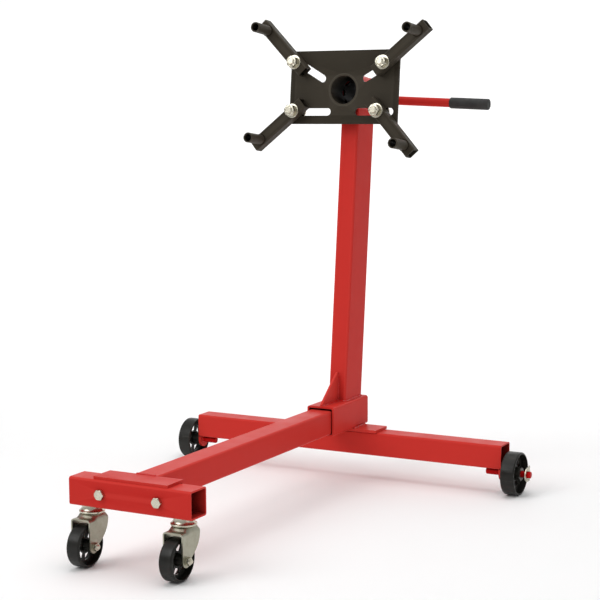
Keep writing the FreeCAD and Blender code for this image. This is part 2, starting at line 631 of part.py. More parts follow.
def arm_clamp(name, frame):
    """The bolt from behind the plate with its washers and, in front of the arm, its nut."""
    grip = "plate_thick + 2 * arm_washer_thick + arm_side"
    nut_front = "arm_side + arm_washer_thick + arm_nut_height"
    shank = rod("arm_bolt_dia / 2", grip + " + arm_nut_height + arm_bolt_spare",
                (0, "-(%s) - arm_bolt_spare" % nut_front, 0), "y")
    head_block = hexagon("arm_bolt_across", "arm_bolt_head", (0, "plate_thick + arm_washer_thick", 0), "y")
    node("arm_bolt_" + name, fuse(head_block, shank), frame)
    node("arm_nut_" + name, nut("arm_bolt_across", "arm_nut_height", "arm_bolt_dia",
                                (0, "-(%s)" % nut_front, 0), "y"), frame)
    washers = [tube("arm_washer_radius", "arm_bolt_dia / 2 + seat_gap", "arm_washer_thick", (0, at, 0), "y")
               for at in ("-arm_side - arm_washer_thick", "plate_thick")]
    node("arm_washers_" + name, group(*washers), frame)


def arms():
    """Four arms, each clamped somewhere along its slot."""
    for name, start, angle, travel in slots():
        short_of_end, direction = ARMS[name]
        out = FreeCAD.Rotation(Y, -angle).multVec(X) * (value(travel) - short_of_end)
        frame = HEAD.multiply(FreeCAD.Placement(start + out, FreeCAD.Rotation(Y, -direction)))
        arm(name, frame)
        arm_clamp(name, frame)


for build in (front_cross, beam_and_socket, column_and_gusset, rear_cross, rear_wheels, casters, head,
              lock_pin, handle, arms):
    build()
DOC.recompute()

# ---- checks and output ----------------------------------------------------------------------------
for thing in DOC.Objects:
    if "Invalid" in thing.State or "Error" in thing.State:
        raise SystemExit("%s (%s) failed to recompute: %s" % (thing.Name, thing.Label, thing.State))
for name, thing in NODES.items():
    if thing.Shape.isNull() or not thing.Shape.isValid():
        raise SystemExit(name + " has no valid shape")
os.makedirs("parts", exist_ok=True)
for name, thing in NODES.items():
    thing.Shape.exportStep("parts/" + name + ".step")
whole = Part.makeCompound([thing.Shape for thing in NODES.values()]).BoundBox
print("%d nodes, x %.1f to %.1f, y %.1f to %.1f, z %.1f to %.1f" % (
    len(NODES), whole.XMin, whole.XMax, whole.YMin, whole.YMax, whole.ZMin, whole.ZMax))
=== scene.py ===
import json
import math
import random

import bmesh
import bpy
from mathutils import Matrix, Vector, noise


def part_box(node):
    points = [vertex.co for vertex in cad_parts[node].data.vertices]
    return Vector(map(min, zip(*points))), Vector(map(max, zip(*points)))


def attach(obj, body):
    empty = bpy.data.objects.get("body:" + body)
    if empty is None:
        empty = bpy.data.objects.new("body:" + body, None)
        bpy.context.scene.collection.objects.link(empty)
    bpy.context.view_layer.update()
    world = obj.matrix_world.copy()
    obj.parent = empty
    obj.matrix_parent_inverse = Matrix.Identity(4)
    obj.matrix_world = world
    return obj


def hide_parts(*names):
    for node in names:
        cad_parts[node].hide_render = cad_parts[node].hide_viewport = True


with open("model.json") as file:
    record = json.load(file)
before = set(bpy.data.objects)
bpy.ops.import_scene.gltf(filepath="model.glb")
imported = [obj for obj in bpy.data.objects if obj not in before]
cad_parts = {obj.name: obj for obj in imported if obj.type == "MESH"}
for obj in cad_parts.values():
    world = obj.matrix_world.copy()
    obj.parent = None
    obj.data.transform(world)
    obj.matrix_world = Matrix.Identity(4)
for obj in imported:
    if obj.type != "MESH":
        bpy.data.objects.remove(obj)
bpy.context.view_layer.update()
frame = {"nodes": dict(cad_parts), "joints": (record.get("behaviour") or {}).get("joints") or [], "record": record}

# The engine stand's looks: enamel, zinc, moulded plastic and rubber, weld beads, threads and pressed steel.
# Everything is in metres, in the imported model's own frame. MM turns millimetres into metres.

NODES = frame["nodes"]
SIDES = {"left": -1, "right": 1}
ARM_NAMES = ["upper_left", "upper_right", "lower_left", "lower_right"]
X, Y, Z = Vector((1, 0, 0)), Vector((0, 1, 0)), Vector((0, 0, 1))
MM = 0.001
RANDOM = random.Random(7)


# ---- the frame's own places --------------------------------------------------------------------------
JOINTS = {joint["name"]: joint for joint in frame["joints"]}
HEAD_AT = Vector(JOINTS["head_turn"]["pos_m"])
FRONT = Vector(JOINTS["head_turn"]["axis"]).normalized()      # out of the mounting face
BACK = -FRONT


# ---- materials ---------------------------------------------------------------------------------------
# painted shade: ambient occlusion darkens a colour in gaps and the insides of tubes
PAINTED_SHADE_SAMPLES = 6
PAINTED_SHADE_STOPS = ((0.10, 1.0), (0.44, 0.0))      # from closed in to open
# a lighter ring painted round the head's bore: a painted highlight at the seam of tube and plate
HIGHLIGHT_RING_RADIUS = 33.8 * MM
HIGHLIGHT_RING_AT = 0.5                                   # the painted highlight ring's place on the ramp
HIGHLIGHT_RING_STOPS = ((0.486, 0.0), (0.498, 1.0), (0.508, 1.0), (0.520, 0.0))


class Material:
    """A node material in object coordinates, built up with short calls."""

    def __init__(self, name, **shader):
        self.material = bpy.data.materials.new(name)
        self.material.use_nodes = True
        self.tree = self.material.node_tree
        self.shader = self.tree.nodes["Principled BSDF"]
        self.place = self.add("ShaderNodeTexCoord").outputs["Object"]
        for socket, number in shader.items():
            self.shader.inputs[socket.replace("_", " ")].default_value = number

    def add(self, kind, **values):
        node = self.tree.nodes.new(kind)
        for key, number in values.items():
            if key in node.inputs:
                node.inputs[key].default_value = number
            else:
                setattr(node, key, number)
        return node

    def link(self, out, into):
        self.tree.links.new(out, into)

    def stretched(self, scale):
        mapping = self.add("ShaderNodeMapping")
        mapping.inputs["Scale"].default_value = scale
        self.link(self.place, mapping.inputs["Vector"])
        return mapping.outputs["Vector"]

    def noise(self, scale, detail=3.0, roughness=0.5, vector=None):
        node = self.add("ShaderNodeTexNoise", Scale=scale, Detail=detail, Roughness=roughness)
        self.link(vector or self.place, node.inputs["Vector"])
        return node.outputs["Fac"]

    def ramp(self, fac, *stops):
        """Maps a factor through (position, colour or grey) stops."""
        node = self.add("ShaderNodeValToRGB")
        elements = node.color_ramp.elements
        while len(elements) < len(stops):
            elements.new(0.5)
        for element, (position, colour) in zip(elements, stops):
            element.position = position
            element.color = (*([colour] * 3 if isinstance(colour, (int, float)) else colour), 1)
        self.link(fac, node.inputs["Fac"])
        return node.outputs["Color"]

    def mix(self, fac, a, b):
        node = self.add("ShaderNodeMix", data_type="RGBA")
        self.link(fac, node.inputs[0])
        for socket, colour in ((node.inputs[6], a), (node.inputs[7], b)):
            if isinstance(colour, tuple):
                socket.default_value = (*colour, 1)
            else:
                self.link(colour, socket)
        return node.outputs[2]

    def edges(self, low=0.52, high=0.6):
        """White along convex edges: partly wear, partly a painted highlight."""
        geometry = self.add("ShaderNodeNewGeometry")
        return self.ramp(geometry.outputs["Pointiness"], (low, 0.0), (high, 1.0))

    def painted_shade(self, colour, shade, distance=0.065):
        """Painted shade: the colour, darker where other surfaces close it in: gaps and the insides of tubes."""
        occlusion = self.add("ShaderNodeAmbientOcclusion", samples=PAINTED_SHADE_SAMPLES, Distance=distance)
        return self.mix(self.ramp(occlusion.outputs["AO"], *PAINTED_SHADE_STOPS), colour, shade)

    def ring(self, centre, radius):
        """White on a thin ring about a point: a painted highlight."""
        away = self.add("ShaderNodeVectorMath", operation="DISTANCE")
        self.link(self.place, away.inputs[0])
        away.inputs[1].default_value = centre
        scaled = self.add("ShaderNodeMath", operation="MULTIPLY")
        self.link(away.outputs["Value"], scaled.inputs[0])
        scaled.inputs[1].default_value = HIGHLIGHT_RING_AT / radius
        return self.ramp(scaled.outputs[0], *HIGHLIGHT_RING_STOPS)

    def colour(self, out):
        self.link(out, self.shader.inputs["Base Color"])

    def roughness(self, out):
        self.link(out, self.shader.inputs["Roughness"])

    def bump(self, height, strength, distance, after=None):
        node = self.add("ShaderNodeBump", Strength=strength, Distance=distance)
        self.link(height, node.inputs["Height"])
        if after:
            self.link(after, node.inputs["Normal"])
        self.link(node.outputs["Normal"], self.shader.inputs["Normal"])
        return node.outputs["Normal"]


def red_paint():
    """Glossy red enamel with orange peel, cloudy tone, edges lighter as thin paint and painted highlight, painted
    shade in gaps and tube insides, and small dust specks.
    """
    deep, bright, fine_red = (0.44, 0.0034, 0.0036), (0.50, 0.0050, 0.0048), (0.43, 0.0036, 0.0037)
    dust, thin_paint_and_highlight, shade = (0.60, 0.07, 0.055), (0.62, 0.045, 0.035), (0.020, 0.0015, 0.0012)
    paint = Material("red_paint", Specular_IOR_Level=0.045)
    base = paint.ramp(paint.noise(scale=4.5, detail=2.0), (0.3, deep), (0.7, bright))
    fine = paint.ramp(paint.noise(scale=60.0, detail=4.0, roughness=0.6), (0.42, 0.0), (0.72, 1.0))
    base = paint.mix(fine, base, fine_red)
    specks = paint.ramp(paint.noise(scale=420.0, detail=1.0), (0.79, 0.0), (0.82, 1.0))
    base = paint.mix(specks, base, dust)
    # painted highlight, with thin paint, along convex edges
    base = paint.mix(paint.edges(low=0.54, high=0.66), base, thin_paint_and_highlight)
    # painted shade in gaps and the insides of tubes
    paint.colour(paint.painted_shade(base, shade))
    paint.roughness(paint.ramp(paint.noise(scale=22.0), (0.3, 0.30), (0.75, 0.42)))
    first = paint.bump(paint.noise(scale=420.0, detail=2.0), strength=0.06, distance=0.0004)
    paint.bump(paint.noise(scale=28.0, detail=2.0), strength=0.035, distance=0.002, after=first)
    return paint.material


def weld_paint():
    """The same enamel lying thick and shiny over a weld bead."""
    deep, bright = (0.50, 0.007, 0.006), (0.60, 0.016, 0.012)
    paint = Material("weld_paint", Specular_IOR_Level=0.45)
    paint.colour(paint.ramp(paint.noise(scale=90.0), (0.3, deep), (0.7, bright)))
    paint.roughness(paint.ramp(paint.noise(scale=160.0), (0.3, 0.16), (0.75, 0.30)))
    paint.bump(paint.noise(scale=500.0, detail=2.0), strength=0.10, distance=0.0004)
    return paint.material


def black_paint(name, highlight_ring=None):
    """Brownish black satin powder coat: slight texture, edges lighter as rubbed paint and painted highlight,
    painted shade in gaps and tube insides, and perhaps a ring-shaped painted highlight at a seam.
    """
    dark, light, dusty = (0.0085, 0.0060, 0.0028), (0.0135, 0.0098, 0.0050), (0.020, 0.015, 0.0085)
    rubbed_and_highlight, highlight_ring_grey, shade = (0.060, 0.051, 0.038), (0.070, 0.062, 0.048), (0.0010, 0.0009, 0.0007)
    paint = Material(name, Specular_IOR_Level=0.05)
    base = paint.ramp(paint.noise(scale=9.0), (0.3, dark), (0.7, light))
    streaky = paint.noise(scale=30.0, detail=5.0, roughness=0.65, vector=paint.stretched((1, 1, 3)))
    base = paint.mix(paint.ramp(streaky, (0.5, 0.0), (0.8, 1.0)), base, dusty)
    # painted highlight, with rubbed paint, along convex edges
    base = paint.mix(paint.edges(low=0.53, high=0.66), base, rubbed_and_highlight)
    # a ring of painted highlight at the seam round the bore
    if highlight_ring:
        base = paint.mix(paint.ring(*highlight_ring), base, highlight_ring_grey)
    # painted shade in gaps and hollows
    paint.colour(paint.painted_shade(base, shade, distance=0.09))
    paint.roughness(paint.ramp(paint.noise(scale=40.0), (0.3, 0.34), (0.75, 0.50)))
    first = paint.bump(paint.noise(scale=620.0, detail=2.0), strength=0.25, distance=0.0004)
    paint.bump(paint.noise(scale=70.0), strength=0.16, distance=0.0012, after=first)
    return paint.material


def zinc(name, low, high, roughness, grain=(1, 1, 1)):
    """Zinc plate: cloudy colour, fine drawing lines and a few dull spots."""
    dull, smoother, rougher = 0.82, 0.03, 0.05
    metal = Material(name, Metallic=1.0)
    cloud = metal.ramp(metal.noise(scale=55.0, detail=4.0, roughness=0.6), (0.3, low), (0.7, high))
    spots = metal.ramp(metal.noise(scale=260.0), (0.64, 0.0), (0.76, 1.0))
    metal.colour(metal.mix(spots, cloud, tuple(dull * c for c in low)))
    lines = metal.noise(scale=420.0, vector=metal.stretched(grain))
    metal.roughness(metal.ramp(metal.noise(scale=90.0, detail=4.0),
                               (0.3, roughness - smoother), (0.7, roughness + rougher)))
    metal.bump(lines, strength=0.05, distance=0.0003)
    return metal.material


def wheel_plastic(name, low, high):
    """Black moulded plastic with a tread lighter at its edges as rubbing and painted highlight, scuffs, faint flow
    marks and painted shade in its hollows.
    """
    scuffed, rubbed_and_highlight, shade = (0.036, 0.035, 0.030), (0.05, 0.048, 0.041), (0.0015, 0.0014, 0.0012)
    plastic = Material(name, Specular_IOR_Level=0.28)
    cloud = plastic.ramp(plastic.noise(scale=28.0, detail=4.0, roughness=0.6), (0.35, low), (0.68, high))
    scuffs = plastic.noise(scale=85.0, detail=6.0, roughness=0.7, vector=plastic.stretched((0.25, 1, 1)))
    colour = plastic.mix(plastic.ramp(scuffs, (0.56, 0.0), (0.74, 1.0)), cloud, scuffed)
    # painted highlight, with rubbing, along convex edges
    colour = plastic.mix(plastic.edges(), colour, rubbed_and_highlight)
    # painted shade in the wheel's hollows
    plastic.colour(plastic.painted_shade(colour, shade, distance=0.02))
    plastic.roughness(plastic.ramp(plastic.noise(scale=45.0, detail=4.0), (0.3, 0.27), (0.72, 0.5)))
    first = plastic.bump(plastic.noise(scale=300.0), strength=0.14, distance=0.0005)
    plastic.bump(plastic.noise(scale=46.0), strength=0.12, distance=0.0015, after=first)
    return plastic.material


def grip_rubber():
    """Matte black rubber with a fine grain."""
    dark, light = (0.018, 0.018, 0.018), (0.034, 0.033, 0.032)
    rubber = Material("grip_rubber", Specular_IOR_Level=0.35)
    rubber.colour(rubber.ramp(rubber.noise(scale=40.0, detail=4.0), (0.3, dark), (0.7, light)))
    rubber.roughness(rubber.ramp(rubber.noise(scale=120.0), (0.3, 0.55), (0.7, 0.72)))
    rubber.bump(rubber.noise(scale=900.0, detail=2.0), strength=0.25, distance=0.0003)
    return rubber.material


MATERIALS = {
    "red_paint": red_paint(),
    "black_paint": black_paint("black_paint"),
    "zinc": zinc("zinc", (0.50, 0.47, 0.37), (0.64, 0.61, 0.51), roughness=0.25),
    "fork_zinc": zinc("fork_zinc", (0.31, 0.305, 0.235), (0.40, 0.39, 0.315), roughness=0.32,
                      grain=(1, 1, 0.1)),
    "wheel_black": wheel_plastic("wheel_black", (0.0065, 0.0061, 0.0048), (0.0145, 0.0138, 0.0108)),
    "caster_black": wheel_plastic("caster_black", (0.0052, 0.0048, 0.0038), (0.0115, 0.0108, 0.0086)),
    "grip_rubber": grip_rubber(),
}
WELD_PAINT = weld_paint()
# black paint with a painted highlight ring round the bore
RING_HIGHLIGHT_PAINT = black_paint("ring_highlight_paint", (HEAD_AT, HIGHLIGHT_RING_RADIUS))
SLOT_OF = {part["node"]: part["material_slot"] for part in frame["record"]["subparts"]}


# ---- mesh helpers ------------------------------------------------------------------------------------
def add_piece(name, mesh, slot, body, replaced=(), smooth_angle=40):
    """A finished piece: linked, shaded, given its material, and riding on its body."""
    piece = bpy.data.objects.new(name, mesh)
    bpy.context.scene.collection.objects.link(piece)
    mesh.materials.append(MATERIALS[slot])
    mesh.polygons.foreach_set("use_smooth", [True] * len(mesh.polygons))
    mesh.set_sharp_from_angle(angle=math.radians(smooth_angle))
    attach(piece, body)
    if replaced:
        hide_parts(*replaced)
    return piece


def mesh_from(bm, name):
    bmesh.ops.recalc_face_normals(bm, faces=bm.faces)
    mesh = bpy.data.meshes.new(name)
    bm.to_mesh(mesh)
    bm.free()
    return mesh


def angles(first, stop, step):
    """Whole degrees, as radians."""
    return [math.radians(degrees) for degrees in range(first, stop, step)]


def axes_for(direction):
    """Two unit vectors square to a direction and to each other."""
    side = direction.cross(Z if abs(direction.z) < 0.9 else X).normalized()
    return side, direction.cross(side).normalized()


def face_rows(bm, rows, closed=False):
    """Faces between each row of vertices and the next, joined round if closed."""
    for a, b in zip(rows, rows[1:]):
        for n in range(len(a) if closed else len(a) - 1):
            m = (n + 1) % len(a)
            bm.faces.new((a[n], a[m], b[m], b[n]))


def cap(bm, rings):
    bm.faces.new(rings[0])
    bm.faces.new(list(reversed(rings[-1])))


def lathe(bm, profile, at, direction, steps=64, wave=None, capped=False):
    """Turns (distance, radius) pairs round a line: a closed ring, or a solid with flat ends if capped."""
    side, other = axes_for(direction)
    rings = []
    for along, radius in profile:
        ring = []
        for n in range(steps):
            angle = 2 * math.pi * n / steps
            r = wave(angle, radius, along) if wave else radius
            out = (side * math.cos(angle) + other * math.sin(angle)) * r
            ring.append(bm.verts.new(at + direction * along + out))
        rings.append(ring)
    if capped:
        cap(bm, rings)
    face_rows(bm, rings + ([] if capped else rings[:1]), closed=True)


def side_box(node, side):
    """The box of the solids of a node that lie on one side of the middle."""
    points = [v.co for v in NODES[node].data.vertices if v.co.x * side > 0]
    return (Vector([min(p[k] for p in points) for k in range(3)]),
            Vector([max(p[k] for p in points) for k in range(3)]))


def steps_between(low, high, count):
    return [low + (high - low) * n / count for n in range(count + 1)]


# ---- CAD nodes keep their shape and get their material -----------------------------------------------
for name, piece in NODES.items():
    piece.data.materials.clear()
    # the mounting plate's paint carries the painted highlight ring
    piece.data.materials.append(RING_HIGHLIGHT_PAINT if name == "mounting_plate" else MATERIALS[SLOT_OF[name]])


# ---- fasteners: chamfered hexagons, threads and rolled washers ---------------------------------------
SIXTH = math.pi / 3                       # from one corner of a hexagon to the next
HEX_STEPS, SHANK_STEPS, WASHER_STEPS = 96, 48, 72
CONE_START, CONE_SLOPE = 0.97, 1.9        # of half the width across flats; rise per depth
CONE_DEPTH, CONE_LIMIT = 0.09, 0.4        # of the width across flats; of the hexagon's height
CONE_RINGS = (0, 0.2, 0.4, 0.6, 0.8, 1)
ROUND_INSIDE = 0.9                        # rings narrower than this share of the hexagon stay round
HEAD_DISH, HEAD_RINGS = 0.02 * MM, (0.28, 0.40)
HEAD_OVERLAP = 0.1 * MM                   # how far a shank starts inside its head
THREAD_DEPTH, THREAD_RINGS = 0.55, 8      # of the pitch; rings per turn
TIP_LENGTH, TIP_SHAPE = 0.9 * MM, ((0.5, 0.7), (0.0, 1.4))      # mm from the end, mm narrower
TIP_TOLERANCE = 0.05 * MM
NUT_CHAMFER = 0.8 * MM
COARSE_PITCH, FINE_PITCH = 1.5 * MM, 1.25 * MM
ARM_THREAD, CROSS_THREAD, LOCK_THREAD, AXLE_THREAD = 8 * MM, 14 * MM, 10 * MM, 9 * MM


class Turned:
    """Where one solid of a CAD node lies about a line: its ends along the line and its radii."""

    def __init__(self, node, at, direction, belongs=lambda p: True):
        self.node, self.at, self.direction = node, Vector(at), Vector(direction).normalized()
        found = []
        for point in (v.co for v in NODES[node].data.vertices if belongs(v.co)):
            along = (point - self.at).dot(self.direction)
            found.append((along, (point - self.at - self.direction * along).length))
        self.low, self.high = min(f[0] for f in found), max(f[0] for f in found)
        self.inner, self.outer = min(f[1] for f in found), max(f[1] for f in found)
        wide = [f[0] for f in found if f[1] > 0.5 * (self.inner + self.outer)]
        self.wide_low, self.wide_high = min(wide), max(wide)

    def across_flats(self):
        return self.outer * math.cos(SIXTH / 2) * 2

    def tip_radius(self):
        """The radius at the high end, such as a bolt's tip."""
        radii = []
        for point in (v.co for v in NODES[self.node].data.vertices):
            along = (point - self.at).dot(self.direction)
            off = (point - self.at - self.direction * along).length
            if abs(along - self.high) < TIP_TOLERANCE and off < self.outer:
                radii.append(off)
        return max(radii)


def hexagon_wave(across, low, high, phase=0.0, chamfered=(True, True)):
    """Radius of a hexagon whose corners are turned off by a cone at the ends asked for."""
    def wave(angle, radius, along):
        if radius < across / 2 * ROUND_INSIDE:
            return radius
        off_flat = (angle - phase + SIXTH / 2) % SIXTH - SIXTH / 2
        limit = across / 2 / math.cos(off_flat)
        for depth, wanted in zip((along - low, high - along), chamfered):
            if wanted:
                limit = min(limit, across / 2 * CONE_START + max(depth, 0.0) * CONE_SLOPE)
        return limit
    return wave


def hex_profile(low, high, across):
    """Rings close together at both ends, where the chamfer curves over the corners."""
    deep = min(CONE_DEPTH * across, CONE_LIMIT * (high - low))
    return ([(low + deep * t, across / 2) for t in CONE_RINGS]
            + [(high - deep * t, across / 2) for t in reversed(CONE_RINGS)])


def add_bolt(name, where, body, pitch, threaded, phase=0.0):
    """A bolt: the hexagon head at the low end, a plain shank and a thread near the tip."""
    across, shank = where.across_flats(), where.tip_radius()
    low, high = where.wide_low, where.wide_high
    bm = bmesh.new()
    profile = [(low + HEAD_DISH, across * share) for share in HEAD_RINGS] + hex_profile(low, high, across)
    lathe(bm, profile, where.at, where.direction, HEX_STEPS,
          hexagon_wave(across, low, high, phase, (True, False)), capped=True)
    start, end = where.high - threaded, where.high - TIP_LENGTH

    def thread(angle, radius, along):
        if along < start or along > end:
            return radius
        turn = (along / pitch - angle / (2 * math.pi)) % 1.0
        fade = min(1.0, (along - start) / pitch)
        return radius - THREAD_DEPTH * pitch * fade * (1 - abs(2 * turn - 1))
    rings = max(2, int(threaded / pitch * THREAD_RINGS))
    runs = [(high - HEAD_OVERLAP, shank)] + [(along, shank) for along in steps_between(start, end, rings)]
    runs += [(where.high - back * MM, shank - narrower * MM) for back, narrower in TIP_SHAPE]
    lathe(bm, runs, where.at, where.direction, SHANK_STEPS, thread, capped=True)
    add_piece(name, mesh_from(bm, name), SLOT_OF[where.node], body, [where.node], smooth_angle=32)


def add_nut(name, where, body, phase=0.0):
    """A nut, chamfered at both ends inside and out."""
    across, low, high, bore = where.across_flats(), where.low, where.high, where.inner
    bm = bmesh.new()
    profile = ([(low + NUT_CHAMFER, bore), (low, bore + NUT_CHAMFER)] + hex_profile(low, high, across)
               + [(high, bore + NUT_CHAMFER), (high - NUT_CHAMFER, bore)])
    lathe(bm, profile, where.at, where.direction, HEX_STEPS, hexagon_wave(across, low, high, phase))
    add_piece(name, mesh_from(bm, name), SLOT_OF[where.node], body, [where.node], smooth_angle=32)


def rounded(low, high, inner, outer, radius, steps=3):
    """A ring's cross-section with its four corners rounded, as (along, radius) pairs."""
    pairs = []
    for along, out, start in ((low + radius, inner + radius, 180), (low + radius, outer - radius, 90),
                              (high - radius, outer - radius, 0), (high - radius, inner + radius, -90)):
        for n in range(steps + 1):
            angle = math.radians(start + 90 - 90 * n / steps)
            pairs.append((along + math.cos(angle) * radius, out + math.sin(angle) * radius))
    return pairs


def add_washer(name, where, body, rolled=0.5 * MM):
    """A washer with rolled edges."""
    bm = bmesh.new()
    profile = rounded(where.low, where.high, where.inner, where.outer, rolled)
    lathe(bm, profile, where.at, where.direction, WASHER_STEPS)
    add_piece(name, mesh_from(bm, name), SLOT_OF[where.node], body, [where.node], smooth_angle=50)


# ---- fasteners in place ------------------------------------------------------------------------------
CROSS_NUT_TURN, CASTER_HEAD_TURN, CASTER_NUT_TURN = 0.4, 0.3, 0.7      # radians


def right_of_middle(side):
    return lambda p: p.x * side > 0


def add_arm_fasteners():
    """Each arm's bolt from behind, its two washers, and the nut in front."""
    for arm in ARM_NAMES:
        body = "arm_clamp_" + arm
        at = JOINTS["arm_swing_" + arm]["pos_m"]
        head_turn, nut_turn = RANDOM.uniform(0, SIXTH), RANDOM.uniform(0, SIXTH)
        add_bolt("arm_bolt_piece_" + arm, Turned("arm_bolt_" + arm, at, FRONT), body, COARSE_PITCH,
                 ARM_THREAD, head_turn)
        add_nut("arm_nut_piece_" + arm, Turned("arm_nut_" + arm, at, FRONT), body, nut_turn)
        for place, in_front in (("front", 1), ("back", -1)):
            washer = Turned("arm_washers_" + arm, at, FRONT,
                            lambda p, k=in_front: (p - Vector(at)).dot(FRONT) * k > 0)
            add_washer("arm_washer_%s_%s" % (place, arm), washer, body)


def add_base_fasteners():
    """The front tube's two bolts, and the two from below that hold the beam."""
    for name, side in SIDES.items():
        low, high = side_box("cross_tube_bolts", side)
        at = Vector(((low.x + high.x) / 2, 0, (low.z + high.z) / 2))
        mine = right_of_middle(side)
        add_bolt("cross_bolt_" + name, Turned("cross_tube_bolts", at, Y, mine), "stand", COARSE_PITCH,
                 CROSS_THREAD, SIXTH / 2)
        add_nut("cross_nut_" + name, Turned("cross_tube_nuts", at, Y, mine), "stand", CROSS_NUT_TURN)
        add_washer("cross_washer_" + name, Turned("cross_tube_washers", at, Y, mine), "stand", 0.4 * MM)
    first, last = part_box("beam_lock_bolts")
    split = (first.y + last.y) / 2
    for place, sign in (("front", -1), ("back", 1)):
        mine = lambda p, k=sign: (p.y - split) * k > 0
        ys = [v.co.y for v in NODES["beam_lock_bolts"].data.vertices if mine(v.co)]
        at = Vector((0, (min(ys) + max(ys)) / 2, 0))
        add_bolt("lock_bolt_" + place, Turned("beam_lock_bolts", at, Z, mine), "stand", COARSE_PITCH,
                 LOCK_THREAD)


def add_caster_fasteners():
    """Each caster's axle bolt and its nut."""
    for name in SIDES:
        body = "caster_" + name
        at = JOINTS["caster_spin_" + name]["pos_m"]
        add_bolt("caster_axle_" + name, Turned("caster_bolt_" + name, at, X), body, FINE_PITCH,
                 AXLE_THREAD, CASTER_HEAD_TURN)
        add_nut("caster_axle_nut_" + name, Turned("caster_nut_" + name, at, X), body, CASTER_NUT_TURN)


add_arm_fasteners()
add_base_fasteners()
add_caster_fasteners()


# ---- pressed forks, bearing rings, axles and split pins ----------------------------------------------
FORK_BOSS, FORK_BEND, FORK_SHEET, FORK_SWELL = 12 * MM, 6 * MM, 2.6 * MM, 2.6
FORK_EDGE, FORK_EDGE_ANGLE = 0.45 * MM, 50
FORK_COLUMNS, LEG_ROWS, CROWN_COLUMNS, CROWN_RINGS = 24, 14, 12, 14
DOME_HEIGHT, DOME_FLAT, DOME_FOOT, KING_HOLE = 6 * MM, 20 * MM, 28 * MM, 6.3 * MM
MERGE = 0.01 * MM
RACE_BORE, RACE_TOP, RACE_STEPS = 6.1 * MM, 5.4 * MM, 96
RACE_SHAPE = ((0, 1.8), (0.3, 0.8), (0.9, 0.2), (1.6, 0), (3.2, 0), (3.9, 0.3), (4.3, 1.0), (4.6, 2.2),
              (5.6, 3.2), (7.0, 4.1), (9.0, 5.0))      # mm up from the bottom, mm inside the rim
AXLE_ROUNDING, AXLE_STEPS = 1.6 * MM, 48
PIN_WIRE, PIN_GAP, PIN_EYE, PIN_NECK = 0.75 * MM, 0.78 * MM, 3.1 * MM, 0.6 * MM
PIN_ENDS, PIN_BENT = ((4.2, 0), (2.6, 1.6), (1.3, 3.6)), 5.6 * MM      # mm out and up; the bent length


def fork_edges(z, axle, top, back):
    """The fork's front and back at a height: round under the axle, straight in front, convex behind."""
    if z < axle.z:
        half = math.sqrt(max(0.0, FORK_BOSS ** 2 - (axle.z - z) ** 2))
        return axle.y - half, axle.y + half
    rise = min(1.0, (z - axle.z) / (top - axle.z))
    swell = 1 - (1 - rise) ** FORK_SWELL
    return axle.y - FORK_BOSS, axle.y + FORK_BOSS + (back - axle.y - FORK_BOSS) * swell


def crown_rim(flat, front, back):
    """Points round the crown's edge, where it meets the legs' bends and the open front and back."""
    deep = back - front
    rim = [(flat, front + deep * n / FORK_COLUMNS) for n in range(FORK_COLUMNS)]
    rim += [(flat - 2 * flat * n / CROWN_COLUMNS, back) for n in range(CROWN_COLUMNS)]
    rim += [(-flat, back - deep * n / FORK_COLUMNS) for n in range(FORK_COLUMNS)]
    rim += [(2 * flat * n / CROWN_COLUMNS - flat, front) for n in range(CROWN_COLUMNS)]
    return rim


